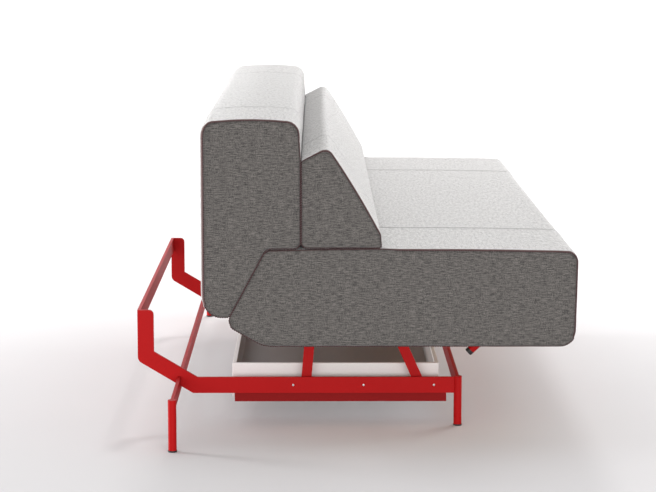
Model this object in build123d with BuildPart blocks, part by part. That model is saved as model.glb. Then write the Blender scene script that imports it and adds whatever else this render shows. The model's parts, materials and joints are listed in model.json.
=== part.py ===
from build123d import *
import math
import os

# A sofa bed: a low steel frame carries a seat on two swinging links, the back folds down behind
# the seat, and a loose wedge cushion lies on the seat. X runs along the sofa, the front faces -Y,
# Z is up from the floor, and the origin is on the floor under the middle. Millimetres, degrees.

os.makedirs("parts", exist_ok=True)

# Whole sofa
sofa_length = 2000.0
sofa_depth = 1044.0
sofa_height = 795.0
end_x = sofa_length / 2
front_y = -sofa_depth / 2
rear_y = sofa_depth / 2

# Fits and gaps
pin_clearance = 0.05
plug_clearance = 0.1
slot_clearance = 0.2
seat_gap = 0.3
rest_gap = 0.4

# Soft blocks: quilted covers over foam
cover_thickness = 8.0
seam_setback = 362.0
seam_x = end_x - seam_setback
edge_draw = 6.5
edge_reach = 26.0
ring_shares = (0.0, 0.2, 0.5, 1.0)
core_radius = 3.0

# Seat block
seat_height = 496.0
seat_thickness = 223.4
seat_crown = 4.5
seat_front_lean = 4.5
seat_toe_run = 81.0
seat_toe_drop = 14.0
seat_front_top_radius = 28.0
seat_front_bottom_radius = 39.0
seat_shoulder_radius = 23.0
seat_heel_radius = 14.0
seat_toe_radius = 35.0

# Back block and its hinge, at the foot of the slanted joint between seat and back
hinge_setback = 239.0
hinge_rise = 64.4
joint_run = 85.0
joint_gap = 2.2
back_front_reach = 166.4
back_rear_reach = 65.5
back_crown = 3.0
back_ledge_gap = 3.0
back_foot_gap = 3.0
back_top_radius = 28.0
back_chin_radius = 16.0
back_ledge_radius = 10.0
back_foot_radius = 8.0
back_heel_radius = 52.0

# Wedge cushion
wedge_gap = 3.2
wedge_depth = 183.0
wedge_height = 235.6
wedge_nose_height = 32.7
wedge_ridge_setback = 61.4
wedge_ridge_drop = 36.1
wedge_crown = 3.0
wedge_rear_radius = 14.0
wedge_toe_radius = 6.0
wedge_nose_radius = 23.0
wedge_ridge_radius = 23.0
wedge_shoulder_radius = 9.0

# Steel frame: flat bar on edge and round legs
bar_height = 40.0
bar_thickness = 8.0
frame_width = 1254.0
rail_bottom = 83.0
rail_bend_setback = 147.0
rail_slant_angle = 31.0
rail_heel_radius = 18.0
upright_rise = 19.4
upright_corner_radius = 12.0
leg_diameter = 20.0
leg_wall = 1.5
leg_cap = 3.0
leg_rise = 2.0
front_leg_setback = 251.0
rear_leg_setback = 102.0
rear_leg_end_setback = 105.0
low_bar_height = 34.0
glide_height = 4.0
glide_lip = 1.0
glide_spigot = 18.0
glide_edge_radius = 1.5

# Storage tray and the angles that it hangs in
runner_thickness = 3.0
runner_drop = 23.0
runner_height = 58.0
runner_front_gap = 28.0
runner_rear_gap = 92.0
tray_side_gap = 41.0
tray_overlap = 15.0
tray_front_inset = 17.0
tray_rear_overrun = 7.0
tray_height = 85.0
tray_wall = 10.0
tray_floor = 6.0
tray_corner_radius = 2.0
tray_inner_radius = 1.5
tray_rim_radius = 0.8
screw_front_margin = 31.5
screw_rear_margin = 145.5
screw_diameter = 4.0
screw_head_diameter = 6.0
screw_head_height = 1.8
screw_head_radius = 1.3
screw_count = 3

# Swinging links, fixed guide posts and their pins
link_width = 25.0
link_thickness = 6.0
link_rest_lean = 24.0
link_foot_setback = 91.7
link_foot_rise = 15.0
post_foot_setback = 268.4
post_lean = 5.1
post_pin_rise = 4.7
pin_diameter = 10.0
pin_head_diameter = 16.0
pin_head_thickness = 4.0
spacer_diameter = 18.0
cross_tube_diameter = 16.0
cross_tube_wall = 1.5
cross_tube_reach = 110.0

# Seat frame under the cushion
board_thickness = 16.0
board_end_setback = 120.0
board_front_setback = 44.0
board_rear_inset = 14.0
board_corner_radius = 20.0
plate_height = 40.0
plate_thickness = 6.0
plate_gap = 3.0
plate_front_setback = 97.0
plate_rear_overrun = 24.0
plate_corner_radius = 6.0
hinge_knuckle_radius = 11.0
member_depth = 30.0
member_height = 20.0
member_wall = 2.0
member_front_inset = 15.0
member_rear_inset = 60.0
pull_tube_diameter = 20.0
pull_tube_wall = 1.5
pull_tube_angle = 43.0
pull_tube_setback = 224.0
pull_tube_drop = 39.3
pull_tube_length = 108.0
pull_plug_length = 10.0
pull_plug_spigot = 14.0
pull_plug_edge_radius = 2.0

# Hinge pins and the frame inside the back
hinge_pin_diameter = 8.0
hinge_head_diameter = 15.0
hinge_head_thickness = 3.0
hinge_slot_margin = 2.0
hinge_recess_radius = 24.0
arm_thickness = 6.0
arm_width = 22.0
arm_top_inset = 80.0
back_bar_height = 30.0
back_bar_thickness = 6.0
back_bar_end_setback = 60.0
back_bar_low_rise = 63.0
back_bar_high_inset = 43.0

# Places of the soft blocks that follow from those sizes
seat_top = seat_height
seat_bottom = seat_top - seat_thickness
hinge_y = rear_y - hinge_setback
hinge_z = seat_bottom + hinge_rise
hinge_place = (hinge_y, hinge_z)
seat_shoulder_y = hinge_y - joint_run
seat_toe_y = hinge_y - seat_toe_run
slope_share = joint_run / (seat_top - hinge_z)
half_gap = joint_gap / 2
seat_heel_z = hinge_z - seat_toe_drop
seat_heel_y = hinge_y + seat_toe_drop * slope_share - half_gap
back_front_y = hinge_y - back_front_reach
back_rear_y = hinge_y + back_rear_reach
ledge_z = seat_top + back_ledge_gap
ledge_y = hinge_y - (ledge_z - hinge_z) * slope_share + half_gap
foot_z = hinge_z + back_foot_gap
foot_y = hinge_y - back_foot_gap * slope_share + half_gap
wedge_rear_y = back_front_y - wedge_gap
wedge_front_y = wedge_rear_y - wedge_depth
wedge_bottom = seat_top + seat_crown + rest_gap
wedge_top = wedge_bottom + wedge_height

# Places of the steel frame and the tray
rail_outer_x = frame_width / 2
rail_inner_x = rail_outer_x - bar_thickness
rail_top = rail_bottom + bar_height
rail_bend_y = rear_y - rail_bend_setback
upright_top = seat_bottom + upright_rise
leg_height = rail_top + leg_rise
front_leg_x = rail_outer_x - bar_thickness / 2
front_leg_y = front_y + front_leg_setback
rear_leg_x = end_x - rear_leg_end_setback
rear_leg_y = rear_y - rear_leg_setback
runner_inner_x = rail_inner_x - runner_thickness
runner_bottom = rail_bottom - runner_drop
runner_front_y = front_leg_y + runner_front_gap
runner_rear_y = rail_bend_y - runner_rear_gap
tray_half_length = runner_inner_x - tray_side_gap
tray_bottom = runner_bottom + runner_thickness
tray_front_y = runner_front_y + tray_front_inset
tray_rear_y = runner_rear_y + tray_rear_overrun
screw_z = rail_bottom + bar_height / 2
screw_first_y = runner_front_y + screw_front_margin
screw_last_y = runner_rear_y - screw_rear_margin
screw_spacing = (screw_last_y - screw_first_y) / (screw_count - 1)

# Places of the links, the posts and the seat frame
link_outer_x = runner_inner_x - plate_gap - 2 * rest_gap
link_inner_x = link_outer_x - link_thickness
plate_outer_x = link_inner_x - plate_gap
plate_inner_x = plate_outer_x - plate_thickness
board_top = seat_bottom - seat_gap
plate_top = board_top - board_thickness
plate_bottom = plate_top - plate_height
plate_front_y = front_y + plate_front_setback
plate_rear_y = seat_toe_y + plate_rear_overrun
board_front_y = front_y + board_front_setback
board_rear_y = seat_toe_y - board_rear_inset
rest_lean = math.radians(link_rest_lean)
link_foot = (front_leg_y + link_foot_setback, rail_bottom + link_foot_rise)
link_head_z = plate_bottom + plate_height / 2
link_length = (link_head_z - link_foot[1]) / math.cos(rest_lean)
link_head = (link_foot[0] + link_length * math.sin(rest_lean), link_head_z)
post_foot = (rail_bend_y - post_foot_setback, link_foot[1])
post_pin_z = link_head_z + post_pin_rise
post_head = (post_foot[0] - (post_pin_z - post_foot[1]) * math.tan(math.radians(post_lean)), post_pin_z)
arm_foot = (plate_rear_y - plate_height / 2, link_head_z)
arm_inner_x = plate_outer_x + seat_gap
arm_outer_x = arm_inner_x + arm_thickness
arm_head = (hinge_y, sofa_height - arm_top_inset - arm_width / 2)
back_bar_y = hinge_y - arm_width / 2 - back_bar_thickness / 2
back_bar_low_z = hinge_z + back_bar_low_rise
back_bar_high_z = sofa_height - arm_top_inset - back_bar_high_inset
hinge_slot_start = plate_inner_x - hinge_head_thickness - hinge_slot_margin
hinge_slot_end = arm_outer_x + hinge_head_thickness + hinge_slot_margin
knuckle_room = hinge_knuckle_radius + hinge_slot_margin
pin_bore = pin_diameter + 2 * pin_clearance
screw_bore = screw_diameter + 2 * pin_clearance
hinge_bore = hinge_pin_diameter + 2 * pin_clearance
spacer_length = runner_inner_x - link_outer_x

# Outlines of the soft blocks on the YZ plane: Y, Z, corner radius, and the crown of the edge
# that leaves that corner. Each goes round anticlockwise seen from +X.
seat_corners = (
    (front_y + seat_front_lean, seat_bottom, seat_front_bottom_radius, 0),
    (seat_toe_y, seat_bottom, seat_toe_radius, 0),
    (seat_heel_y, seat_heel_z, seat_heel_radius, 0),
    (seat_shoulder_y - half_gap, seat_top, seat_shoulder_radius, seat_crown),
    (front_y, seat_top, seat_front_top_radius, 0),
)
back_corners = (
    (back_front_y + back_crown, ledge_z, back_chin_radius, 0),
    (ledge_y, ledge_z, back_ledge_radius, 0),
    (foot_y, foot_z, back_foot_radius, 0),
    (back_rear_y, foot_z, back_heel_radius, 0),
    (back_rear_y, sofa_height - back_crown, back_top_radius, back_crown),
    (back_front_y + back_crown, sofa_height - back_crown, back_top_radius, back_crown),
)
wedge_corners = (
    (wedge_front_y, wedge_bottom, wedge_toe_radius, 0),
    (wedge_rear_y, wedge_bottom, wedge_rear_radius, 0),
    (wedge_rear_y, wedge_top - wedge_ridge_drop, wedge_shoulder_radius, 0),
    (wedge_rear_y - wedge_ridge_setback, wedge_top, wedge_ridge_radius, wedge_crown),
    (wedge_front_y, wedge_bottom + wedge_nose_height, wedge_nose_radius, 0),
)


def keep(piece, label):
    """Name a finished piece and write it."""
    piece.label = label
    export_step(piece, f"parts/{label}.step")


def keep_pair(piece, label):
    """Write a piece made at +X, the right-hand one, and its mirror image at -X."""
    keep(mirror(piece, about=Plane.YZ), f"{label}_left")
    keep(piece, f"{label}_right")


def soft_outline(x, corners, inset):
    """Sketch an outline at one X, drawn in by inset, with crowned edges and rounded corners."""
    with BuildSketch(Plane.YZ.offset(x)) as outline:
        with BuildLine():
            for index, (y, z, radius, crown) in enumerate(corners):
                start = Vector(y, z)
                end = Vector(*corners[(index + 1) % len(corners)][:2])
                if crown:
                    outward = (end - start).rotate(Axis.Z, -90).normalized()
                    ThreePointArc(start, (start + end) / 2 + outward * crown, end)
                else:
                    Line(start, end)
        make_face()
        if inset:
            offset(amount=-inset, kind=Kind.INTERSECTION)
        for index, (y, z, radius, crown) in enumerate(corners):
            before = Vector(*corners[index - 1][:2])
            after = Vector(*corners[(index + 1) % len(corners)][:2])
            here = Vector(y, z)
            hollow = (here - before).cross(after - here).Z < 0
            rounded = radius + inset if hollow else max(radius - inset, core_radius)
            fillet(outline.vertices().sort_by_distance(here)[0], radius=rounded)
    return outline.sketch


def quilted_rings(corners):
    """List the rings that a cover is lofted through: full between seams, drawn in at each."""
    seams = (-end_x, -seam_x, seam_x, end_x)
    rings = []
    for start, end in zip(seams, seams[1:]):
        for share in ring_shares[1 if start > -end_x else 0:]:
            rings.append(soft_outline(start + share * edge_reach, corners, edge_draw * (1 - share) ** 2))
        for share in reversed(ring_shares):
            rings.append(soft_outline(end - share * edge_reach, corners, edge_draw * (1 - share) ** 2))
    return rings


def hollow_out(corners):
    """Cut the space for the foam out of a cover, which leaves the cover's quilted wall."""
    space = soft_outline(0, corners, cover_thickness)
    extrude(space, amount=end_x - cover_thickness, both=True, mode=Mode.SUBTRACT)


def foam_core(corners):
    """Extrude the foam that fills a cover."""
    core = soft_outline(0, corners, cover_thickness + seat_gap)
    extrude(core, amount=end_x - cover_thickness - seat_gap, both=True)


def bar_on_edge(y, bottom, height, thickness, reach):
    """Extrude a flat bar on edge along X, to the same reach on both sides."""
    with BuildSketch(Plane.YZ) as section:
        with Locations((y, bottom + height / 2)):
            Rectangle(thickness, height)
    extrude(section.sketch, amount=reach, both=True)


def cope_round(x, y):
    """Cut a bar's two ends to the round legs that they are welded to."""
    with BuildSketch(Plane.XY) as rounds:
        with Locations((x, y), (-x, y)):
            Circle(leg_diameter / 2)
    extrude(rounds.sketch, amount=upright_top, mode=Mode.SUBTRACT)


def disc(x, y, z, diameter, thickness, mode=Mode.ADD):
    """Extrude a round of a diameter along +X from one place."""
    with BuildSketch(Plane.YZ.offset(x)) as section:
        with Locations((y, z)):
            Circle(diameter / 2)
    extrude(section.sketch, amount=thickness, mode=mode)


def strap(x, foot, head, width, thickness, mode=Mode.ADD):
    """Extrude a round-ended flat strap between two centres along +X."""
    run = Vector(*head) - Vector(*foot)
    middle = (Vector(*head) + Vector(*foot)) / 2
    with BuildSketch(Plane.YZ.offset(x)) as section:
        with Locations(Location((middle.X, middle.Y, 0), math.degrees(math.atan2(run.Y, run.X)))):
            SlotCenterToCenter(run.length, width)
    extrude(section.sketch, amount=thickness, mode=mode)


# Side rails: one flat bar from the front leg, bent up to the rear upright
slant = math.radians(rail_slant_angle)
screw_places = [screw_first_y + step * screw_spacing for step in range(screw_count)]
slant_top_z = rail_top + (rear_y - bar_height - rail_bend_y) * math.tan(slant)
slant_low_y = rail_bend_y + bar_height * math.tan(slant / 2)
slant_low_z = rail_bottom + (rear_y - slant_low_y) * math.tan(slant)
notch_top = leg_height + seat_gap
with BuildPart() as side_rail:
    with BuildSketch(Plane.YZ.offset(rail_inner_x)) as rail_outline:
        with BuildLine():
            Polyline(
                (front_leg_y, rail_bottom),
                (slant_low_y, rail_bottom),
                (rear_y, slant_low_z),
                (rear_y, upright_top),
                (rear_y - bar_height, upright_top),
                (rear_y - bar_height, slant_top_z),
                (rail_bend_y, rail_top),
                (front_leg_y, rail_top),
                close=True,
            )
        make_face()
        fillet(rail_outline.vertices().sort_by_distance((rear_y, slant_low_z))[0], rail_heel_radius)
        corner = rail_outline.vertices().sort_by_distance((rear_y - bar_height, upright_top))[0]
        fillet(corner, upright_corner_radius)
    extrude(amount=bar_thickness)
    cope_round(front_leg_x, front_leg_y)
    with BuildSketch(Plane.YZ.offset(rail_inner_x)):
        with Locations((rear_leg_y, notch_top / 2)):
            Rectangle(bar_thickness + 2 * seat_gap, notch_top)
    extrude(amount=bar_thickness, mode=Mode.SUBTRACT)
    for screw_y in screw_places:
        disc(rail_inner_x, screw_y, screw_z, screw_bore, bar_thickness, Mode.SUBTRACT)
keep_pair(side_rail.part, "side_rail")

# Cross bars
with BuildPart() as front_crossbar:
    bar_on_edge(front_leg_y, rail_bottom, bar_height, bar_thickness, front_leg_x)
    cope_round(front_leg_x, front_leg_y)
keep(front_crossbar.part, "front_crossbar")

with BuildPart() as rear_low_crossbar:
    bar_on_edge(rear_leg_y, leg_height - low_bar_height, low_bar_height, bar_thickness, rear_leg_x)
    cope_round(rear_leg_x, rear_leg_y)
keep(rear_low_crossbar.part, "rear_low_crossbar")

with BuildPart() as rear_top_crossbar:
    bar_on_edge(rear_y - bar_thickness / 2, upright_top - bar_height, bar_height, bar_thickness, rail_inner_x)
keep(rear_top_crossbar.part, "rear_top_crossbar")


def leg_tube(x, y):
    """Add a round leg, closed at the top and open below for its glide."""
    with BuildSketch(Plane.XY.offset(glide_height)) as outside:
        with Locations((x, y)):
            Circle(leg_diameter / 2)
    extrude(outside.sketch, amount=leg_height - glide_height)
    with BuildSketch(Plane.XY.offset(glide_height)) as bore:
        with Locations((x, y)):
            Circle(leg_diameter / 2 - leg_wall)
    extrude(bore.sketch, amount=leg_height - glide_height - leg_cap, mode=Mode.SUBTRACT)


def leg_glide(x, y):
    """Add a plastic glide under a leg, with a spigot up its bore."""
    with BuildSketch(Plane.XY) as foot_round:
        with Locations((x, y)):
            Circle(leg_diameter / 2 + glide_lip)
    extrude(foot_round.sketch, amount=glide_height)
    rims = edges().filter_by(GeomType.CIRCLE).group_by(Axis.Z)
    fillet(rims[0], glide_edge_radius)
    with BuildSketch(Plane.XY.offset(glide_height)) as spigot:
        with Locations((x, y)):
            Circle(leg_diameter / 2 - leg_wall - plug_clearance)
    extrude(spigot.sketch, amount=glide_spigot)


for place, x, y in (("front", front_leg_x, front_leg_y), ("rear", rear_leg_x, rear_leg_y)):
    with BuildPart() as leg:
        leg_tube(x, y)
    keep_pair(leg.part, f"{place}_leg")
    with BuildPart() as glide:
        leg_glide(x, y)
    keep_pair(glide.part, f"{place}_glide")

# Tray runners: angles screwed inside the rails, with a shelf under the tray
with BuildPart() as tray_runner:
    with BuildSketch(Plane.XZ.offset(-runner_rear_y)):
        with BuildLine():
            Polyline(
                (rail_inner_x, runner_bottom),
                (rail_inner_x, runner_bottom + runner_height),
                (runner_inner_x, runner_bottom + runner_height),
                (runner_inner_x, tray_bottom),
                (tray_half_length - tray_overlap, tray_bottom),
                (tray_half_length - tray_overlap, runner_bottom),
                close=True,
            )
        make_face()
    extrude(amount=runner_rear_y - runner_front_y)
    for screw_y in screw_places:
        disc(runner_inner_x, screw_y, screw_z, screw_bore, runner_thickness, Mode.SUBTRACT)
    for foot in (link_foot, post_foot):
        disc(runner_inner_x, *foot, pin_bore, runner_thickness, Mode.SUBTRACT)
keep_pair(tray_runner.part, "tray_runner")

with BuildPart() as runner_screws:
    for screw_y in screw_places:
        disc(runner_inner_x, screw_y, screw_z, screw_diameter, bar_thickness + runner_thickness)
        disc(rail_outer_x, screw_y, screw_z, screw_head_diameter, screw_head_height)
    heads = edges().filter_by(GeomType.CIRCLE).group_by(Axis.X)[-1]
    fillet(heads, screw_head_radius)
    mirror(about=Plane.YZ)
keep(runner_screws.part, "runner_screws")

# Storage tray: an open box that lies in the two runners
with BuildPart() as storage_tray:
    tray_middle_y = (tray_front_y + tray_rear_y) / 2
    with BuildSketch(Plane.XY.offset(tray_bottom)):
        with Locations((0, tray_middle_y)):
            RectangleRounded(2 * tray_half_length, tray_rear_y - tray_front_y, tray_corner_radius)
    extrude(amount=tray_height)
    with BuildSketch(Plane.XY.offset(tray_bottom + tray_floor)):
        with Locations((0, tray_middle_y)):
            RectangleRounded(
                2 * (tray_half_length - tray_wall),
                tray_rear_y - tray_front_y - 2 * tray_wall,
                tray_inner_radius,
            )
    extrude(amount=tray_height - tray_floor, mode=Mode.SUBTRACT)
    fillet(edges().group_by(Axis.Z)[-1], tray_rim_radius)
keep(storage_tray.part, "storage_tray")

# Guide posts: fixed straps whose pins run in the seat plates' slots
with BuildPart() as guide_post:
    strap(link_inner_x, post_foot, post_head, link_width, link_thickness)
    disc(link_outer_x, *post_foot, spacer_diameter, spacer_length)
    disc(link_inner_x, *post_foot, pin_bore, link_thickness + spacer_length, Mode.SUBTRACT)
    disc(link_inner_x, *post_head, pin_bore, link_thickness, Mode.SUBTRACT)
keep_pair(guide_post.part, "guide_post")

with BuildPart() as post_bolts:
    disc(link_inner_x, *post_foot, pin_diameter, rail_inner_x - link_inner_x)
    disc(link_inner_x - pin_head_thickness, *post_foot, pin_head_diameter, pin_head_thickness)
    mirror(about=Plane.YZ)
keep(post_bolts.part, "post_bolts")

with BuildPart() as guide_pins:
    pin_start = plate_inner_x - rest_gap
    disc(pin_start, *post_head, pin_diameter, link_outer_x - pin_start)
    disc(pin_start - pin_head_thickness, *post_head, pin_head_diameter, pin_head_thickness)
    mirror(about=Plane.YZ)
keep(guide_pins.part, "guide_pins")

# Swinging links, joined by a cross tube
reach_y = link_foot[0] + cross_tube_reach * math.sin(rest_lean)
reach_z = link_foot[1] + cross_tube_reach * math.cos(rest_lean)
with BuildPart() as front_link:
    strap(link_inner_x, link_foot, link_head, link_width, link_thickness)
    for place in (link_foot, link_head):
        disc(link_inner_x, *place, pin_bore, link_thickness, Mode.SUBTRACT)
keep_pair(front_link.part, "front_link")

with BuildPart() as link_cross_tube:
    with BuildSketch(Plane.YZ):
        with Locations((reach_y, reach_z)):
            Circle(cross_tube_diameter / 2)
            Circle(cross_tube_diameter / 2 - cross_tube_wall, mode=Mode.SUBTRACT)
    extrude(amount=link_inner_x, both=True)
keep(link_cross_tube.part, "link_cross_tube")

with BuildPart() as link_foot_pins:
    disc(link_inner_x - rest_gap, *link_foot, pin_diameter, rail_inner_x - link_inner_x + rest_gap)
    head_start = link_inner_x - rest_gap - pin_head_thickness
    disc(head_start, *link_foot, pin_head_diameter, pin_head_thickness)
    mirror(about=Plane.YZ)
keep(link_foot_pins.part, "link_foot_pins")

with BuildPart() as link_foot_bushes:
    disc(link_outer_x + seat_gap, *link_foot, spacer_diameter, spacer_length - seat_gap)
    disc(link_outer_x, *link_foot, pin_bore, spacer_length, Mode.SUBTRACT)
    mirror(about=Plane.YZ)
keep(link_foot_bushes.part, "link_foot_bushes")

with BuildPart() as link_head_pins:
    disc(plate_inner_x, *link_head, pin_diameter, link_outer_x + rest_gap - plate_inner_x)
    disc(link_outer_x + rest_gap, *link_head, pin_head_diameter, pin_head_thickness)
    mirror(about=Plane.YZ)
keep(link_head_pins.part, "link_head_pins")

with BuildPart() as link_head_bushes:
    disc(plate_outer_x, *link_head, spacer_diameter, plate_gap - seat_gap)
    disc(plate_outer_x, *link_head, pin_bore, plate_gap, Mode.SUBTRACT)
    mirror(about=Plane.YZ)
keep(link_head_bushes.part, "link_head_bushes")

# Seat side plates: bar, arm up to the back hinge, and the curved slot for the guide pin
slot_middle_y = post_head[0] + link_length * math.sin(rest_lean)
slot_middle_z = post_head[1] + link_length * math.cos(rest_lean)
with BuildPart() as seat_side_plate:
    with BuildSketch(Plane.YZ.offset(plate_inner_x)):
        with Locations(((plate_front_y + plate_rear_y) / 2, (plate_bottom + plate_top) / 2)):
            RectangleRounded(plate_rear_y - plate_front_y, plate_height, plate_corner_radius)
    extrude(amount=plate_thickness)
    strap(plate_inner_x, arm_foot, hinge_place, 2 * hinge_knuckle_radius, plate_thickness)
    disc(plate_inner_x, *link_head, pin_bore, plate_thickness, Mode.SUBTRACT)
    disc(plate_inner_x, *hinge_place, hinge_bore, plate_thickness, Mode.SUBTRACT)
    with BuildSketch(Plane.YZ.offset(plate_inner_x)):
        with BuildLine() as slot_path:
            CenterArc(
                (slot_middle_y, slot_middle_z),
                link_length,
                -90 - link_rest_lean,
                link_rest_lean,
            )
        SlotArc(slot_path.edges()[0], pin_diameter + 2 * slot_clearance)
    extrude(amount=plate_thickness, mode=Mode.SUBTRACT)
keep_pair(seat_side_plate.part, "seat_side_plate")

# Seat cross members: square-section tubes between the side plates
member_front_y = plate_front_y + member_front_inset
member_rear_y = plate_rear_y - member_rear_inset
for place, y in (("front", member_front_y), ("rear", member_rear_y)):
    with BuildPart() as seat_member:
        with BuildSketch(Plane.YZ):
            with Locations((y, plate_top - member_height / 2)):
                Rectangle(member_depth, member_height)
                Rectangle(
                    member_depth - 2 * member_wall,
                    member_height - 2 * member_wall,
                    mode=Mode.SUBTRACT,
                )
        extrude(amount=plate_inner_x, both=True)
    keep(seat_member.part, f"seat_member_{place}")

# Seat board that the cushion lies on
with BuildPart() as seat_board:
    with BuildSketch(Plane.XY.offset(plate_top)):
        with Locations((0, (board_front_y + board_rear_y) / 2)):
            RectangleRounded(
                2 * (end_x - board_end_setback),
                board_rear_y - board_front_y,
                board_corner_radius,
            )
    extrude(amount=board_thickness)
keep(seat_board.part, "seat_board")

# Pull tubes under the seat's front, each with a black plug in its lower end
pull_lean = math.radians(pull_tube_angle)
pull_x = plate_inner_x - pull_tube_diameter / 2 - seat_gap
pull_run = Vector(0, -math.cos(pull_lean), math.sin(pull_lean))
plug_end = Vector(pull_x, front_y + pull_tube_setback, plate_bottom - pull_tube_drop)
tube_start = plug_end + pull_run * pull_plug_length
with BuildPart() as pull_tube:
    with BuildSketch(Plane(origin=tube_start, z_dir=pull_run)):
        Circle(pull_tube_diameter / 2)
        Circle(pull_tube_diameter / 2 - pull_tube_wall, mode=Mode.SUBTRACT)
    extrude(amount=pull_tube_length)
    with BuildSketch(Plane.XY.offset(plate_top)):
        with Locations((pull_x, plug_end.Y - pull_tube_length)):
            Rectangle(pull_tube_diameter * 2, pull_tube_length * 2)
    extrude(amount=pull_tube_length, mode=Mode.SUBTRACT)
keep_pair(pull_tube.part, "pull_tube")

with BuildPart() as pull_plug:
    with BuildSketch(Plane(origin=plug_end, z_dir=pull_run)):
        Circle(pull_tube_diameter / 2)
    extrude(amount=pull_plug_length)
    outer_rim = edges().filter_by(GeomType.CIRCLE).sort_by(Axis.Z)[0]
    fillet(outer_rim, pull_plug_edge_radius)
    with BuildSketch(Plane(origin=tube_start, z_dir=pull_run)):
        Circle(pull_tube_diameter / 2 - pull_tube_wall - plug_clearance)
    extrude(amount=pull_plug_spigot)
keep_pair(pull_plug.part, "pull_plug")


def cut_hinge_room(side):
    """Cut the room that the hinge's plate, knuckle and pin need at one side of a soft block."""
    width = hinge_slot_end - hinge_slot_start
    start = side * (hinge_slot_start + hinge_slot_end) / 2 - width / 2
    strap(start, arm_foot, hinge_place, 2 * knuckle_room, width, Mode.SUBTRACT)
    disc(start, *hinge_place, 2 * hinge_recess_radius, width, Mode.SUBTRACT)


def cut_back_frame():
    """Cut the pockets that the arms and cross bars fill inside the back."""
    pocket_width = arm_thickness + 2 * seat_gap
    for side in (-1, 1):
        start = side * (arm_inner_x + arm_outer_x) / 2 - pocket_width / 2
        strap(start, hinge_place, arm_head, arm_width + 2 * seat_gap, pocket_width, Mode.SUBTRACT)
    for bar_z in (back_bar_low_z, back_bar_high_z):
        with BuildSketch(Plane.YZ) as pocket:
            with Locations((back_bar_y, bar_z + back_bar_height / 2)):
                Rectangle(back_bar_thickness + 2 * seat_gap, back_bar_height + 2 * seat_gap)
        reach = end_x - back_bar_end_setback + seat_gap
        extrude(pocket.sketch, amount=reach, both=True, mode=Mode.SUBTRACT)


# Seat cushion: foam in a quilted cover
with BuildPart() as seat_cover:
    loft(quilted_rings(seat_corners), ruled=True)
    hollow_out(seat_corners)
    for side in (-1, 1):
        cut_hinge_room(side)
keep(seat_cover.part, "seat_cover")

with BuildPart() as seat_foam:
    foam_core(seat_corners)
    for side in (-1, 1):
        cut_hinge_room(side)
keep(seat_foam.part, "seat_foam")

# Frame inside the back: two arms on the hinge pins and two cross bars in front of them
with BuildPart() as back_arm:
    strap(arm_inner_x, hinge_place, arm_head, arm_width, arm_thickness)
    disc(arm_inner_x, *hinge_place, hinge_bore, arm_thickness, Mode.SUBTRACT)
keep_pair(back_arm.part, "back_arm")

for place, bar_z in (("low", back_bar_low_z), ("high", back_bar_high_z)):
    with BuildPart() as back_bar:
        bar_on_edge(back_bar_y, bar_z, back_bar_height, back_bar_thickness, end_x - back_bar_end_setback)
    keep(back_bar.part, f"back_crossbar_{place}")

with BuildPart() as hinge_pins:
    pin_start = plate_inner_x - seat_gap
    disc(pin_start, *hinge_place, hinge_pin_diameter, arm_outer_x + seat_gap - pin_start)
    disc(pin_start - hinge_head_thickness, *hinge_place, hinge_head_diameter, hinge_head_thickness)
    disc(arm_outer_x + seat_gap, *hinge_place, hinge_head_diameter, hinge_head_thickness)
    mirror(about=Plane.YZ)
keep(hinge_pins.part, "hinge_pins")

# Back cushion: foam in a quilted cover, over the back's frame
with BuildPart() as back_cover:
    loft(quilted_rings(back_corners), ruled=True)
    hollow_out(back_corners)
    for side in (-1, 1):
        cut_hinge_room(side)
    cut_back_frame()
keep(back_cover.part, "back_cover")

with BuildPart() as back_foam:
    foam_core(back_corners)
    for side in (-1, 1):
        cut_hinge_room(side)
    cut_back_frame()
keep(back_foam.part, "back_foam")

# Wedge cushion: foam in a quilted cover, loose on the seat
with BuildPart() as wedge_cover:
    loft(quilted_rings(wedge_corners), ruled=True)
    hollow_out(wedge_corners)
keep(wedge_cover.part, "wedge_cover")

with BuildPart() as wedge_foam:
    foam_core(wedge_corners)
keep(wedge_foam.part, "wedge_foam")

print("link length", round(link_length, 3))
print("link foot", link_foot, "link head", link_head)
print("back hinge", hinge_place)
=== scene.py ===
"""The looks of a sofa bed: quilted cushions in grey melange cloth on a red powder-coated frame.

Lengths are in metres in the frame's own axes: X along the sofa, the front faces -Y, Z is up. The
outlines of the three blocks are in millimetres until their grids are made.
"""
import json

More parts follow.
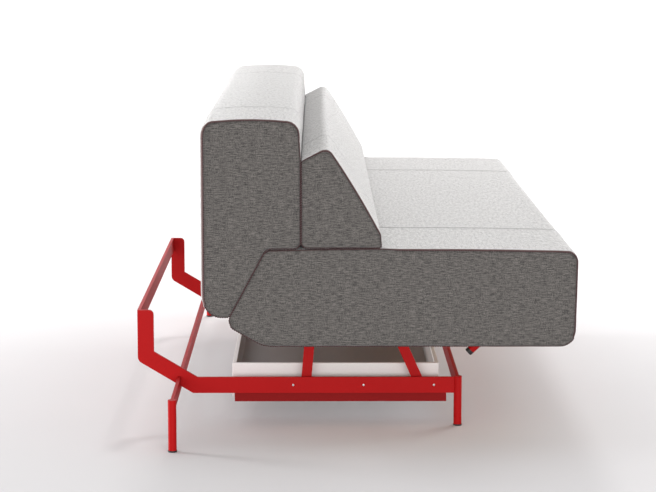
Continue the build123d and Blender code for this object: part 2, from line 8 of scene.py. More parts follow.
import bpy
import numpy as np
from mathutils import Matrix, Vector


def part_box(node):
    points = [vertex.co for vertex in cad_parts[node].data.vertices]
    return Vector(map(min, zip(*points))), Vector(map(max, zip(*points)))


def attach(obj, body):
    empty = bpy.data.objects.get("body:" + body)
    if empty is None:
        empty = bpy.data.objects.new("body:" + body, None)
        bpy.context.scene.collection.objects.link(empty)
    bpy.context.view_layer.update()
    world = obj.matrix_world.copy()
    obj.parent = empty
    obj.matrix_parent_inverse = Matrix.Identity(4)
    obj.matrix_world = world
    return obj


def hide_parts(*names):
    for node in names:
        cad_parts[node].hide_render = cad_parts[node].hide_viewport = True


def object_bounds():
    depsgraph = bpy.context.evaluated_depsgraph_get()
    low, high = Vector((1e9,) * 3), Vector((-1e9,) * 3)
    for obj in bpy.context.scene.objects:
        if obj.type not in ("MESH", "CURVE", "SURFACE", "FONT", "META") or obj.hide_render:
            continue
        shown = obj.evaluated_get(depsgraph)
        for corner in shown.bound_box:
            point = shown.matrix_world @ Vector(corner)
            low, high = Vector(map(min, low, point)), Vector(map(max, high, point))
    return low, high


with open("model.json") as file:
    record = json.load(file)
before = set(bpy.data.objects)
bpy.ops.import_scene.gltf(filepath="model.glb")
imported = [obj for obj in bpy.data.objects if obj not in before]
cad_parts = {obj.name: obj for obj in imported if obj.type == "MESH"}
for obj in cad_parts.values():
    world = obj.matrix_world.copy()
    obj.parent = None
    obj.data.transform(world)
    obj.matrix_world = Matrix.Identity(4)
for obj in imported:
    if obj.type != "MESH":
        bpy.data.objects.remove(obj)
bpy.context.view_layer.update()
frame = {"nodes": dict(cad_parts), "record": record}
MM = 0.001

# Places along the sofa: its end, and the seam across each long panel
end_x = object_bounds()[1].x
side_panel_width = 362 * MM
seam_x = end_x - side_panel_width

# Kinds of rows in a cover's grid
END_FACE, ROLL, LONG_PANEL = range(3)

# Sewn edge: the panel of each end is sewn inside a small roll of the long panel. The roll's crest,
# where the overlock thread lies, is two of its steps from the seam
roll_radius = 3.4 * MM
roll_turn = np.radians(115)
roll_steps = 8
crest_step = 2

# The end panel: its depth behind the end, the groove of its seam and the puff beside it
face_depth = 1.2 * MM
seam_depth = 2.8 * MM
seam_width = 2.6 * MM
puff_depth = 2.5 * MM
puff_reach = 30 * MM

# The groove of the seam across the long panel
panel_seam_depth = 1.9 * MM
panel_seam_width = 2.5 * MM

# How the seams draw the cloth in and pucker it
draw_depth = 1.6 * MM
draw_reach = 20 * MM
pucker_depth = 0.45 * MM
pucker_reach = 20 * MM
shortest_pucker = 13 * MM
longest_pucker = 40 * MM
pucker_waves = 9

# Share of the draw and the roll that is left where a block lies against another
contact_share = 0.15

# The back's rear side is drawn in towards each end
rear_tuck = 8 * MM
tuck_reach = 14 * MM

# The overlocked edge: the roll and a little of the long panel beside it
binding_width = face_depth + roll_radius + 4.5 * MM

# Outline sampling, in millimetres
arc_step = 4.5
edge_step = 17.0
contact_step = 4.0

# Rows of the grid: steps away from a seam in millimetres, the first rows behind the roll, where the
# wide rows start, and how wide they lie on the side panels and the middle panel
seam_steps = np.array([1.2, 1.6, 2.2, 3, 4, 5.5, 7, 9, 11, 14, 17, 20])
roll_rows = np.array([4, 10, 19]) * MM
roll_clear = 30 * MM
side_step = 24 * MM
middle_step = 25 * MM

# Rows of the end face, as shares of the way from its seam to its middle
face_shares = np.array([0.85, 0.68, 0.53, 0.4, 0.3, 0.22, 0.155, 0.105, 0.07, 0.042, 0.022, 0.009, 0])

# Swelling of the covers over their foam: a point is held up to the first gap to another block or
# where its normal points below the limit, and swells freely from the second gap
touch_gap = 6 * MM
free_gap = 45 * MM
underside_limit = -0.5
seam_hold = 14 * MM
held_share = 0.02
swell_cap = 3.5 * MM
swell_frames = 20
swell_quality = 4
swell_pressure = 4.0

# Stitches: pitch, length and radius of the thick thread round the ends and the fine one across
end_thread = (5.4 * MM, 5.2 * MM, 1.3 * MM)
panel_thread = (5.0 * MM, 4.6 * MM, 1.1 * MM)

# A stitch's tube: its sides and rings, the least square of its radius, and its bow and its sink
# into the cloth as shares of the radius
stitch_sides = 6
stitch_rings = 5
stitch_tip = 0.02
bow_share = 0.6
sink_share = 0.15

# The tray's skin that stays white: a little less than its wall
tray_skin = 5 * MM

# Sizes of the blocks in millimetres, from the low front corner of each cover's box
seat_front = -0.6
seat_top = 223.4
back_front = -1.2
back_rear = 233.4
back_ledge = 159
back_top = 454
wedge_rear = 184.4

# Outlines of the blocks: y, z, radius of the corner, crown of the edge that follows
outlines = {
    "seat": (
        (3.9, 0, 39, 0),
        (723.4, 0, 75, 0),
        (810.8, 50.4, 24, 0),
        (718.3, seat_top, 23, 4.5),
        (seat_front, seat_top, 28, 0),
    ),
    "back": (
        (back_front, back_ledge, 16, 0),
        (77.9, back_ledge, 22, 0),
        (162.9, 0, 8, 0),
        (back_rear, 0, 52, 0),
        (back_rear, back_top, 38, 4),
        (back_front, back_top, 35, 0),
    ),
    "wedge": (
        (0, 0, 6, 0),
        (wedge_rear, 0, 14, 0),
        (wedge_rear, 199.5, 9, 0),
        (121.6, 235.6, 23, 3),
        (0, 32.7, 23, 0),
    ),
}


def placed_outline(body):
    """A block's outline at its place in the frame, in millimetres."""
    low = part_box(f"{body}_cover")[0]
    return [(low.y / MM + y, low.z / MM + z, radius, crown) for y, z, radius, crown in outlines[body]]


def rounded_outline(corners, step=edge_step):
    """Closed outline in Y and Z round corners of (y, z, radius, crown of the edge that follows).

    A corner is an arc that touches both its edges, of three points or more. An edge has a point at
    each step, one or more, on its chord, raised along the outward normal by
    4 x crown x share x (1 - share). Returns the points, in millimetres.
    """
    corners = np.array(corners, float)
    places = corners[:, :2]
    runs = np.roll(places, -1, 0) - places
    ways = runs / np.linalg.norm(runs, axis=1)[:, None]
    arcs = []
    for index, radius in enumerate(corners[:, 2]):
        before, after = ways[index - 1], ways[index]
        turn = np.arctan2(before[0] * after[1] - before[1] * after[0], before @ after)
        side = np.sign(turn)
        angles = np.linspace(0, turn, max(3, int(radius * abs(turn) / arc_step) + 2))
        cos, sin = np.cos(angles), np.sin(angles)
        normals = np.stack([before[0] * sin + before[1] * cos, before[1] * sin - before[0] * cos], 1)
        start = places[index] - before * radius * np.tan(abs(turn) / 2)
        arcs.append(start - side * radius * normals[0] + side * radius * normals)
    points = []
    for index, crown in enumerate(corners[:, 3]):
        start, end = arcs[index][-1], arcs[(index + 1) % len(arcs)][0]
        way = ways[index]
        spans = max(2, int(np.linalg.norm(end - start) / step))
        shares = np.linspace(0, 1, spans + 1)[1:-1, None]
        raised = 4 * crown * shares * (1 - shares) * np.array([way[1], -way[0]])
        points += [arcs[index], start + (end - start) * shares + raised]
    return np.concatenate(points)


def outward(points):
    """Outward unit normals of a closed outline: its central differences, turned a quarter right."""
    ahead = np.roll(points, -1, 0) - np.roll(points, 1, 0)
    normals = np.stack([ahead[:, 1], -ahead[:, 0]], 1)
    return normals / np.linalg.norm(normals, axis=1)[:, None]


def arc_lengths(points):
    """Length along a closed ring up to each of its points, and once round at the end."""
    steps = np.linalg.norm(np.roll(points, -1, 0) - points, axis=1)
    return np.concatenate([[0], np.cumsum(steps)])


def outline_freedom(corners, others):
    """How freely each outline point may swell, 0 to 1.

    It rises with the gap to the nearest other block, and an underside, which rests on something,
    has none.
    """
    points = rounded_outline(corners)
    around = np.concatenate([rounded_outline(other, contact_step) for other in others])
    gap = np.linalg.norm(points[:, None] - around[None], axis=2).min(1) * MM
    free = np.clip((gap - touch_gap) / (free_gap - touch_gap), 0, 1)
    return free * (outward(points)[:, 1] > underside_limit)


def ripple(length, along, seed):
    """Puckers along a seam, mostly from 0 to 1: a few sines that fit the whole length."""
    rng = np.random.default_rng(seed)
    waves = rng.integers(int(length / longest_pucker), int(length / shortest_pucker), pucker_waves)
    phases = rng.uniform(0, 2 * np.pi, waves.size)
    total = np.sin(2 * np.pi * waves * along[:, None] / length + phases).sum(1) / waves.size
    return 0.5 + total


def stations():
    """Rows of the grid along one half of a block, from the end's middle to the sofa's middle.

    Returns for each row its kind, its share of the end face or its angle round the roll, and its
    X. Rows stand close at each seam and spread between seams.
    """
    fade = np.cumsum(seam_steps) * MM
    face = 1 - face_shares
    angles = np.linspace(roll_turn, 0, roll_steps + 1)[1:]
    roll_x = end_x - face_depth - roll_radius * (1 - np.sin(angles))
    panel_end = roll_x[-1]
    gap = panel_end - seam_x - fade[-1] - roll_clear
    side = np.linspace(panel_end - roll_clear, seam_x + fade[-1], int(gap / side_step) + 2)
    side = np.concatenate([panel_end - roll_rows, side, seam_x + fade[-2::-1], [seam_x]])
    middle = np.linspace(seam_x - fade[-1], 0, int(seam_x / middle_step))
    panel = np.concatenate([side, seam_x - fade[:-1], middle])
    kinds = np.repeat([END_FACE, ROLL, LONG_PANEL], [face.size, angles.size, panel.size])
    values = np.concatenate([face, angles, np.zeros(panel.size)])
    places = np.concatenate([np.full(face.size, end_x), roll_x, panel])
    return kinds, values, places


def face_ring(share, inner, end_wave):
    """One row of the end face: the inner outline drawn towards its middle.

    It is sunk near the seam, puffed out beside it and puckered along it.
    """
    middle = inner.mean(0)
    gap = (1 - share) * np.linalg.norm(inner - middle, axis=1)
    depth = face_depth + seam_depth * np.exp(-(gap / seam_width) ** 2)
    depth += puff_depth * np.exp(-gap / puff_reach)
    depth += pucker_depth * end_wave * np.exp(-gap / pucker_reach)
    return np.column_stack([end_x - depth, middle + share * (inner - middle)])


def block_grid(corners, free, tuck, seed):
    """Grid of a block's cover, rows along X by columns round its outline.

    Rows of the roll go round a small arc. Rows of the long panel are the outline drawn in by
    exponentials of the distance to the nearest seam, with the puckers. Where a block lies against
    another, its seams are drawn in less and its roll is flatter. The tuck draws the rear side in
    towards each end. Returns the grid, the kind of each row, and the lengths round the outline.
    """
    points = rounded_outline(corners) * MM
    normals = outward(points)
    looseness = contact_share + (1 - contact_share) * free
    draws = draw_depth * looseness
    rolls = roll_radius * looseness
    tucks = tuck * np.clip(normals[:, 0], 0, 1) ** 2
    inner = points - normals * (rolls * (1 - np.cos(roll_turn)) + tucks)[:, None]
    lengths = arc_lengths(points)
    middle_wave, side_wave, end_wave = [
        ripple(lengths[-1], lengths[:-1], seed + part) for part in range(3)
    ]
    kinds, values, places = stations()
    rows = []
    for kind, value, x in zip(kinds, values, places):
        if kind == END_FACE:
            rows.append(face_ring(value, inner, end_wave))
            continue
        to_seam = abs(x - seam_x)
        if kind == ROLL:
            to_end = roll_radius
            inset = rolls * (1 - np.cos(value)) + draws * np.cos(value / 2) + tucks
        else:
            to_end = end_x - x
            inset = draws * np.exp(-(to_end - roll_radius) / draw_reach)
            inset = inset + tucks * np.exp(-(to_end - roll_radius) / tuck_reach)
            inset = inset + draws * np.exp(-to_seam / draw_reach)
            inset = inset + panel_seam_depth * np.exp(-(to_seam / panel_seam_width) ** 2)
        wave = side_wave if x > seam_x else middle_wave
        inset = inset + pucker_depth * wave * np.exp(-to_seam / pucker_reach)
        inset = inset + pucker_depth * end_wave * np.exp(-to_end / pucker_reach)
        ring = points - normals * inset[:, None]
        rows.append(np.column_stack([np.full(len(ring), x), ring]))
    near = np.array(rows)
    far = near[-2::-1] * [-1, 1, 1]
    return np.concatenate([near, far]), np.concatenate([kinds, kinds[-2::-1]]), lengths


def end_row(kinds):
    """The last row of the end face, which is sewn to the roll."""
    return int(np.argmax(kinds != END_FACE)) - 1


def grid_freedom(grid, kinds, column_free):
    """How freely each point of a grid may swell: not at a seam, and elsewhere as its column may."""
    x = np.abs(grid[..., 0])
    off_seam = np.minimum(end_x - x, np.abs(x - seam_x))
    off_edge = np.linalg.norm((grid - grid[end_row(kinds)])[..., 1:], axis=2)
    is_face = (kinds == END_FACE)[:, None]
    distance = np.where(is_face, off_edge, off_seam)
    return (1 - np.exp(-(distance / seam_hold) ** 2)) * np.where(is_face, 1.0, column_free)


def mesh_object(name, verts, faces):
    """New smooth object at the origin from arrays of vertices and faces."""
    mesh = bpy.data.meshes.new(name)
    mesh.from_pydata(np.asarray(verts).reshape(-1, 3).tolist(), [], [list(face) for face in faces])
    mesh.polygons.foreach_set("use_smooth", np.full(len(mesh.polygons), True))
    mesh.update()
    piece = bpy.data.objects.new(name, mesh)
    bpy.context.scene.collection.objects.link(piece)
    return piece


def grid_faces(rows, columns, closed=True):
    """Quads between neighbouring rows and columns; closed joins the last column to the first."""
    spans = columns if closed else columns - 1
    row, column = np.meshgrid(np.arange(rows - 1), np.arange(spans), indexing="ij")
    ahead = (column + 1) % columns
    near, far = row * columns, (row + 1) * columns
    return np.stack([near + column, near + ahead, far + ahead, far + column], -1).reshape(-1, 4)


def end_fans(rows, columns):
    """Triangles that close both ends of a grid, each round a middle point that follows the grid."""
    column = np.arange(columns)
    ahead = (column + 1) % columns
    last = (rows - 1) * columns
    first_middle, last_middle = rows * columns, rows * columns + 1
    first_fan = np.stack([np.full(columns, first_middle), ahead, column], 1)
    last_fan = np.stack([np.full(columns, last_middle), last + column, last + ahead], 1)
    return np.concatenate([first_fan, last_fan])


def cloth_uvs(verts, quads, fans, kinds, lengths):
    """UVs of a cover in metres, so that the weave keeps its size; the weft runs along U.

    On the long panel U is the length round the outline and V is X. On the end faces they are Y
    and Z. The quads that close the outline end at its full length.
    """
    columns = lengths.size - 1
    closing = (quads % columns == 0) & (np.arange(4) % 3 != 0)
    round_to = np.where(closing, lengths[-1], lengths[quads % columns])
    on_face = (kinds[quads // columns] == END_FACE).all(1)
    flat_uv = verts[quads][..., 1:]
    long_uv = np.stack([round_to, verts[quads][..., 0]], -1)
    quad_uv = np.where(on_face[:, None, None], flat_uv, long_uv)
    return np.concatenate([quad_uv.ravel(), verts[fans][..., 1:].ravel()])


def overlocked(verts, quads, kinds, columns):
    """Which quads take the overlocked edge: those off the end face and near enough to the end."""
    to_end = (end_x - np.abs(verts[quads][..., 0])).max(1)
    return (kinds[quads // columns] != END_FACE).any(1) & (to_end < binding_width)


def swell(piece, free):
    """Lets a cover swell over its foam: cloth under light pressure, without gravity.

    Points that are not free are held. The others move as the cloth did, times their freedom and
    cap / (cap + move), so that none moves further than the cap.
    """
    scene = bpy.context.scene
    rest = np.empty(free.size * 3)
    piece.data.vertices.foreach_get("co", rest)
    trial = bpy.data.objects.new("trial_cover", piece.data.copy())
    scene.collection.objects.link(trial)
    held = np.flatnonzero(free < held_share).tolist()
    trial.vertex_groups.new(name="held").add(held, 1.0, "REPLACE")
    settings = trial.modifiers.new("cloth", "CLOTH").settings
    settings.vertex_group_mass = "held"
    settings.quality = swell_quality
    settings.use_pressure = True
    settings.uniform_pressure_force = swell_pressure
    settings.effector_weights.gravity = 0.0
    for number in range(1, swell_frames + 1):
        scene.frame_set(number)
    swollen = np.empty(free.size * 3)
    posed = trial.evaluated_get(bpy.context.evaluated_depsgraph_get())
    posed.data.vertices.foreach_get("co", swollen)
    moves = (swollen - rest).reshape(-1, 3)
    size = np.linalg.norm(moves, axis=1)
    moves *= (free * swell_cap / (swell_cap + size))[:, None]
    piece.data.vertices.foreach_set("co", rest + moves.ravel())
    piece.data.update()
    spare = trial.data
    bpy.data.objects.remove(trial)
    bpy.data.meshes.remove(spare)
    scene.frame_set(1)


def cover(name, node, corners, others, tuck, seed):
    """A block's cover: its grid closed at both ends, swollen by the cloth simulation, with its UVs.

    Material 0 is the cloth and material 1 the overlocked edge.
    """
    column_free = outline_freedom(corners, others)
    grid, kinds, lengths = block_grid(corners, column_free, tuck, seed)
    rows, columns = grid.shape[:2]
    verts = np.concatenate([grid.reshape(-1, 3), [grid[0].mean(0), grid[-1].mean(0)]])
    quads = grid_faces(rows, columns)
    fans = end_fans(rows, columns)
    piece = mesh_object(name, verts, [*quads.tolist(), *fans.tolist()])
    bound = np.append(overlocked(verts, quads, kinds, columns), np.zeros(len(fans), bool))
    piece.data.polygons.foreach_set("material_index", bound.astype(np.int32))
    cloth = piece.data.uv_layers.new(name="cloth")
    cloth.data.foreach_set("uv", cloth_uvs(verts, quads, fans, kinds, lengths))

    free = grid_freedom(grid, kinds, column_free)
    swell(piece, np.concatenate([free.ravel(), [1.0, 1.0]]))

    smooth = piece.modifiers.new("smooth", "SUBSURF")
    smooth.levels = smooth.render_levels = 1
    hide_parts(f"{node}_cover", f"{node}_foam")
    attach(piece, node)
    return piece, grid, kinds


def end_rings(grid, kinds):
    """The ring of overlock thread on the crest of each end's roll, and its normals along X."""
    crest = end_row(kinds) + crest_step
    rings = [grid[crest], grid[-1 - crest]]
    normals = [np.tile([np.sign(ring[0, 0]), 0.0, 0.0], (len(ring), 1)) for ring in rings]
    return rings, normals


def panel_rings(grid):
    """The two sewn rings across the long panel, and their normals, outward in Y and Z."""
    row = int(np.argmin(np.abs(grid[:len(grid) // 2, 0, 0] - seam_x)))
    rings = [grid[row], grid[-1 - row]]
    normals = [np.column_stack([np.zeros(len(ring)), outward(ring[:, 1:])]) for ring in rings]
    return rings, normals


def stitch_tube(length, radius):
    """One stitch along X: a tube that narrows at both ends and bows up along Z.

    Returns its points, its quads and the two faces that close it.
    """
    turn = np.arange(stitch_sides) * 2 * np.pi / stitch_sides
    share = np.linspace(-1, 1, stitch_rings)
    radii = np.sqrt(np.clip(1 - np.abs(share) ** 3, stitch_tip, 1)) * radius
    rise = radius * (bow_share * np.cos(share * np.pi / 2) - sink_share)
    tube = np.stack([
        np.repeat(share * length / 2, stitch_sides),
        (radii[:, None] * np.cos(turn)).ravel(),
        (radii[:, None] * np.sin(turn) + rise[:, None]).ravel(),
    ], 1)
    side = np.arange(stitch_sides)
    caps = np.array([side[::-1], len(tube) - stitch_sides + side])
    return tube, grid_faces(stitch_rings, stitch_sides), caps


def ring_places(ring, normals, pitch):
    """Places at every pitch round a closed ring, each with its axes: along, across and outward."""
    lengths = arc_lengths(ring)
    count = int(lengths[-1] / pitch)
    wanted = (np.arange(count) + 0.5) * lengths[-1] / count

    def read(values, at):
        closed = np.concatenate([values, values[:1]])
        return np.stack([np.interp(at, lengths, closed[:, axis]) for axis in range(3)], 1)

    ahead = read(ring, wanted + MM) - read(ring, wanted - MM)
    ahead /= np.linalg.norm(ahead, axis=1)[:, None]
    up = read(normals, wanted)
    up -= ahead * (up * ahead).sum(1)[:, None]
    up /= np.linalg.norm(up, axis=1)[:, None]
    return read(ring, wanted), np.stack([ahead, np.cross(up, ahead), up], 1)


def stitches(name, node, rings, normals, pitch, length, radius):
    """Short stitches along closed rings of points, one at every pitch, as one piece."""
    tube, tube_quads, caps = stitch_tube(length, radius)
    verts = []
    for ring, ring_normals in zip(rings, normals):
        places, axes = ring_places(ring, ring_normals, pitch)
        verts.append((places[:, None] + tube @ axes).reshape(-1, 3))
    verts = np.concatenate(verts)
    offsets = np.arange(0, len(verts), len(tube))[:, None, None]
    quads = (tube_quads + offsets).reshape(-1, 4)
    ends = (caps + offsets).reshape(-1, stitch_sides)
    piece = mesh_object(name, verts, [*quads.tolist(), *ends.tolist()])
    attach(piece, node)
    return piece


def hex_colour(text):
    """Linear colour from an sRGB hex value."""
    value = np.array([int(text[i:i + 2], 16) for i in (1, 3, 5)]) / 255
    linear = np.where(value <= 0.04045, value / 12.92, ((value + 0.055) / 1.055) ** 2.4)
    return (*linear, 1.0)


def new_material(name):
    """A material and its node tree, emptied."""
    material = bpy.data.materials.new(name)
    material.use_nodes = True
    material.node_tree.nodes.clear()
    return material, material.node_tree


def add_node(tree, kind, inputs=None, **settings):
    """Adds one shader node: settings are its own, and inputs gives values or other nodes' outputs."""
    node = tree.nodes.new("ShaderNode" + kind)
    for key, value in settings.items():
        setattr(node, key, value)
    for key, value in (inputs or {}).items():
        if isinstance(value, bpy.types.NodeSocket):
            tree.links.new(value, node.inputs[key])
        else:
            node.inputs[key].default_value = value
    return node


def object_place(tree):
    """The place on the object, in metres."""
    return add_node(tree, "TexCoord").outputs["Object"]


def scaled(tree, place, scales):
    """A place with each axis scaled by its own number, so that 60 gives features of 1/60 m."""
    return add_node(tree, "Mapping", {"Vector": place, "Scale": scales}).outputs[0]


def noise(tree, place, scale, detail):
    """Noise at a place, about 0.3 to 0.7."""
    return add_node(tree, "TexNoise", {"Vector": place, "Scale": scale, "Detail": detail}).outputs[0]


def calc(tree, operation, first, second=0.0):
    """One operation on two numbers or outputs."""
    return add_node(tree, "Math", {0: first, 1: second}, operation=operation).outputs[0]


def blend(tree, share, first, second):
    """Mixes two numbers or outputs; the share is the second's."""
    return add_node(tree, "Mix", {0: share, 2: first, 3: second}).outputs[0]


def blend_colours(tree, share, first, second):
    """Mixes two colours, given as hex values or outputs; the share is the second's."""
    first, second = (hex_colour(tone) if isinstance(tone, str) else tone for tone in (first, second))
    return add_node(tree, "Mix", {0: share, 6: first, 7: second}, data_type="RGBA").outputs[2]


def spread(tree, value, low, high, **settings):
    """Spreads a value that runs from low to high over 0 to 1, and cuts off what is beyond."""
    inputs = {0: value, 1: low, 2: high, 3: 0.0, 4: 1.0}
    return add_node(tree, "MapRange", inputs, **settings).outputs[0]


def finish_material(tree, surface, height=None, strength=0.0, depth=0.0):
    """Adds the shader with these surface inputs, and a relief where a height is given."""
    if height is not None:
        bump = add_node(tree, "Bump", {"Height": height, "Strength": strength, "Distance": depth})
        surface = {**surface, "Normal": bump.outputs[0]}
    shader = add_node(tree, "BsdfPrincipled", surface)
    add_node(tree, "OutputMaterial", {"Surface": shader.outputs[0]})


def melange_cloth():
    """Plain-woven wool blend in mixed greys: matt, slubby along the weft.

    A painted sheen mixes the colour to pale greys where the surface is seen along it.
    """
    material, tree = new_material("woven_melange_wool")
    place = add_node(tree, "UVMap", uv_map="cloth").outputs[0]

    # Slubs are about 15 mm long on threads 2.2 mm apart: real threads of 1 mm would not show
    weft_scale = (60, 460, 1)
    warp_scale = (460, 70, 1)
    warp_share = 0.3
    nep_scale = 420.0
    nep_share = 0.35
    weft_slubs = noise(tree, scaled(tree, place, weft_scale), 1.0, 2.0)
    warp_slubs = noise(tree, scaled(tree, place, warp_scale), 1.0, 2.0)
    threads = blend(tree, warp_share, weft_slubs, warp_slubs)
    mixed = blend(tree, nep_share, threads, noise(tree, place, nep_scale, 1.0))
    tone = spread(tree, mixed, 0.39, 0.61)
    ground = blend_colours(tree, tone, "#262422", "#706B67")

    # The painted sheen's tone varies in patches of 6 mm round the block and 30 mm along the sofa
    sheen_patch_scale = (160, 34, 1)
    sheen_patch_share = 0.6
    sheen_patches = noise(tree, scaled(tree, place, sheen_patch_scale), 1.0, 3.0)
    sheen_tone = blend(tree, sheen_patch_share, tone, spread(tree, sheen_patches, 0.36, 0.64))
    painted_sheen_colour = blend_colours(tree, sheen_tone, "#7E7976", "#DAD7D4")
    # Painted sheen: the colour turns to the pale tones where the surface faces away from the view
    facing = add_node(tree, "LayerWeight", {"Blend": 0.5}).outputs["Facing"]
    painted_sheen_share = spread(tree, facing, 0.5, 0.92, interpolation_type="SMOOTHSTEP")
    colour = blend_colours(tree, painted_sheen_share, ground, painted_sheen_colour)

    # The relief is the weave, of 2.3 mm, on the slubs
    weave_scale = (2700, 2700, 1)
    slub_height = 4.0
    weave_place = add_node(tree, "SeparateXYZ", {0: scaled(tree, place, weave_scale)})
    over, under = (calc(tree, "SINE", weave_place.outputs[axis]) for axis in range(2))
    weave = calc(tree, "MULTIPLY", over, under)
    height = calc(tree, "ADD", weave, calc(tree, "MULTIPLY", mixed, slub_height))
    surface = {
        "Base Color": colour,
        "Roughness": 0.9,
        "Specular IOR Level": 0.25,
        "Sheen Weight": 1.0,
        "Sheen Roughness": 0.5,
    }
    finish_material(tree, surface, height, strength=0.6, depth=0.6 * MM)
    return material


def thread(name, dark, light, scale):
    """Twisted polyester thread in a reddish brown: matt, with a fine uneven tone."""
    material, tree = new_material(name)
    lint = noise(tree, object_place(tree), scale, 2.0)
    colour = blend_colours(tree, lint, dark, light)
    surface = {"Base Color": colour, "Roughness": 0.75, "Specular IOR Level": 0.2}
    finish_material(tree, surface, lint, strength=0.5, depth=0.4 * MM)
    return material


def powder_coat(name, dark, light):
    """Red polyester powder coat on steel: low gloss with a fine orange peel."""
    material, tree = new_material(name)
    place = object_place(tree)
    peel_scale = 700.0
    drift_scale = 6.0
    peel = noise(tree, place, peel_scale, 1.0)
    drift = noise(tree, place, drift_scale, 3.0)
    colour = blend_colours(tree, drift, dark, light)
    surface = {"Base Color": colour, "Roughness": 0.5, "Specular IOR Level": 0.12}
    finish_material(tree, surface, peel, strength=0.15, depth=0.15 * MM)
    return material


def plain_finish(name, dark, light, scale, roughness, metallic=0.0):
    """A finish of two near tones mixed by fine noise, with the same noise as a slight relief."""
    material, tree = new_material(name)
    grain = noise(tree, object_place(tree), scale, 3.0)
    colour = blend_colours(tree, grain, dark, light)
    surface = {"Base Color": colour, "Roughness": roughness, "Metallic": metallic}
    finish_material(tree, surface, grain, strength=0.3, depth=0.05 * MM)
    return material


def tray_finish():
    """White moulded ABS outside, coloured a darker warm grey inside the tray.

    The inside is what lies deeper than the skin on all three axes.
    """
    material, tree = new_material("white_moulded_abs_darker_inside")
    place = object_place(tree)
    low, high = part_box("storage_tray")
    centred = add_node(tree, "Mapping", {"Vector": place, "Location": -(low + high) / 2})
    sizes = add_node(tree, "VectorMath", {0: centred.outputs[0]}, operation="ABSOLUTE")
    parts = add_node(tree, "SeparateXYZ", {0: sizes.outputs[0]})
    inside = 1.0
    for axis, half in enumerate((high - low) / 2):
        within = calc(tree, "LESS_THAN", parts.outputs[axis], half - tray_skin)
        inside = calc(tree, "MULTIPLY", inside, within)
    grain = noise(tree, place, 350.0, 3.0)
    white = blend_colours(tree, grain, "#E6E3E2", "#F0EDEC")
    # The inside is coloured darker: a warm grey in place of the white
    grey = blend_colours(tree, grain, "#8C8481", "#98908D")
    surface = {"Base Color": blend_colours(tree, inside, white, grey), "Roughness": 0.45}
    finish_material(tree, surface, grain, strength=0.3, depth=0.05 * MM)
    return material


def birch_plywood():
    """Sanded birch plywood: long pale grain along X."""
    material, tree = new_material("sanded_birch_plywood")
    grain = noise(tree, scaled(tree, object_place(tree), (3, 60, 200)), 1.0, 6.0)
    colour = blend_colours(tree, grain, "#B99A6B", "#D8BF93")
    finish_material(tree, {"Base Color": colour, "Roughness": 0.6})
    return material


finishes = {
    "grey_fabric": melange_cloth(),
    "red_steel": powder_coat("red_powder_coat", "#A4090B", "#AE0B0E"),
    "white_tray": tray_finish(),
    "black_plastic": plain_finish("black_moulded_nylon", "#121212", "#1B1B1B", 900.0, 0.5),
    "nylon": plain_finish("natural_turned_nylon", "#D9D6CC", "#E6E3DA", 400.0, 0.45),
    "zinc_steel": plain_finish("bright_zinc_plate", "#B9BBBD", "#D2D4D6", 600.0, 0.28, metallic=1.0),
    "plywood": birch_plywood(),
}
thread_finish = thread("twisted_polyester_thread", "#3A2829", "#574041", 900.0)
binding_finish = thread("overlocked_polyester_edge", "#43302F", "#705957", 260.0)
# The runners are coloured a darker red than the rails
darker_runner_red = powder_coat("runner_red_darker_than_rails", "#7E0708", "#88090A")


def dress_block(body, placed, seed):
    """Makes a block's cover and its stitches, each with its finish."""
    others = [outline for other, outline in placed.items() if other != body]
    tuck = rear_tuck if body == "back" else 0.0
    piece, grid, kinds = cover(f"{body}_quilted_cover", body, placed[body], others, tuck, seed)
    piece.data.materials.append(finishes["grey_fabric"])
    piece.data.materials.append(binding_finish)
    for name, sewn, size in (
        (f"{body}_end_stitches", end_rings(grid, kinds), end_thread),
        (f"{body}_panel_stitches", panel_rings(grid), panel_thread),
    ):
        stitches(name, body, *sewn, *size).data.materials.append(thread_finish)


def dress_nodes():
    """Gives each shown CAD node the finish of its slot, and the runners a deeper red."""
    slot_of = {entry["node"]: entry["material_slot"] for entry in frame["record"]["subparts"]}
    for name, node in frame["nodes"].items():
        if not node.hide_render:
            finish = darker_runner_red if name.startswith("tray_runner") else finishes[slot_of[name]]
            for slot in node.material_slots:
                slot.material = finish


# Each block has its own three seeds: one for each panel's puckers and one for the end's
seed_step = 10
placed_outlines = {body: placed_outline(body) for body in outlines}
for number, body in enumerate(placed_outlines):
    dress_block(body, placed_outlines, seed_step * number)
dress_nodes()

# Studio: a pale floor that curves up far behind, a broad light over the far side, a pale surround
floor_half_width = 14.0
floor_near_x = -9.0
floor_far_x = 9.0
floor_bend = 3.0
bend_steps = 16
wall_top = 9.0
air_strength = 0.78

# Lights: name, place, the point it faces, its two sides, its power in watts
lights = (
    ("key", (2.6, -0.15, 3.8), (0.0, 0.0, 0.3), (0.6, 0.6), 54),
    ("front_scrim", (-6.5, 0.0, 2.3), (0.0, 0.0, 0.4), (5.0, 3.4), 74),
    ("front_low", (-7.5, 0.0, 0.9), (0.0, 0.0, 0.9), (9.0, 1.7), 216),
    ("left_low", (1.0, 5.0, 0.75), (0.2, 0.0, 0.1), (1.2, 0.5), 270),
    ("right_far", (3.5, -4.5, 1.6), (0.0, 0.0, 0.2), (3.0, 1.7), 222),
    ("far_wash", (8.0, 0.0, 5.0), (8.6, 0.0, 0.0), (14.0, 2.0), 640),
)

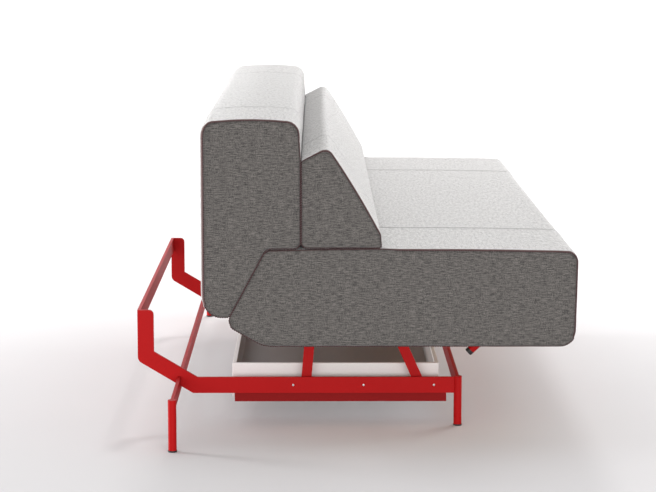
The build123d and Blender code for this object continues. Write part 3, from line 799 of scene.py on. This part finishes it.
# Camera: well off the left end and 1.2 m up, with its long lens and its sensor in millimetres and
# how far it sees
camera_place = (-5.805, 0.080, 1.217)
camera_aim = (-1.0, 0.0533, 0.5067)
camera_lens = 116.9
camera_sensor = 36.0
camera_reach = 100.0


def studio_floor():
    """Floor, quarter bend and wall as one profile in X and Z carried along Y."""
    angles = np.linspace(0, np.pi / 2, bend_steps + 1)
    bend = np.stack([floor_far_x + floor_bend * np.sin(angles), floor_bend * (1 - np.cos(angles))], 1)
    profile = np.concatenate([[[floor_near_x, 0]], bend, [[floor_far_x + floor_bend, wall_top]]])
    sides = np.array([-floor_half_width, floor_half_width])
    verts = np.stack([
        np.repeat(profile[:, 0], 2), np.tile(sides, len(profile)), np.repeat(profile[:, 1], 2)
    ], 1)
    floor = mesh_object("studio_floor", verts, grid_faces(len(profile), 2, closed=False)[:, ::-1])
    floor.data.materials.append(plain_finish("studio_paper", "#CFCDCE", "#D2D0D1", 3.0, 0.9))


def aim(piece, place, target):
    """Puts a light or a camera at a place and turns it to face a point."""
    piece.location = place
    piece.rotation_mode = "QUATERNION"
    piece.rotation_quaternion = (Vector(target) - Vector(place)).to_track_quat("-Z", "Y")
    bpy.context.scene.collection.objects.link(piece)


def area_light(name, place, target, size, power):
    """A rectangular light that the camera doesn't see."""
    data = bpy.data.lights.new(name, "AREA")
    data.shape = "RECTANGLE"
    data.size, data.size_y = size
    data.energy = power
    light = bpy.data.objects.new(name, data)
    light.visible_camera = False
    aim(light, place, target)


def surround():
    """An even white light from all round."""
    world = bpy.data.worlds.new("studio_air")
    bpy.context.scene.world = world
    world.use_nodes = True
    background = world.node_tree.nodes["Background"].inputs
    background["Color"].default_value = (1.0, 1.0, 1.0, 1.0)
    background["Strength"].default_value = air_strength


def photo_camera():
    """Adds the camera, turned to the left end."""
    camera = bpy.data.objects.new("camera", bpy.data.cameras.new("camera"))
    camera.data.lens = camera_lens
    camera.data.sensor_width = camera_sensor
    camera.data.clip_end = camera_reach
    aim(camera, camera_place, camera_aim)
    bpy.context.scene.camera = camera


studio_floor()
for light in lights:
    area_light(*light)
surround()
photo_camera()
bpy.context.scene.view_settings.view_transform = "Standard"
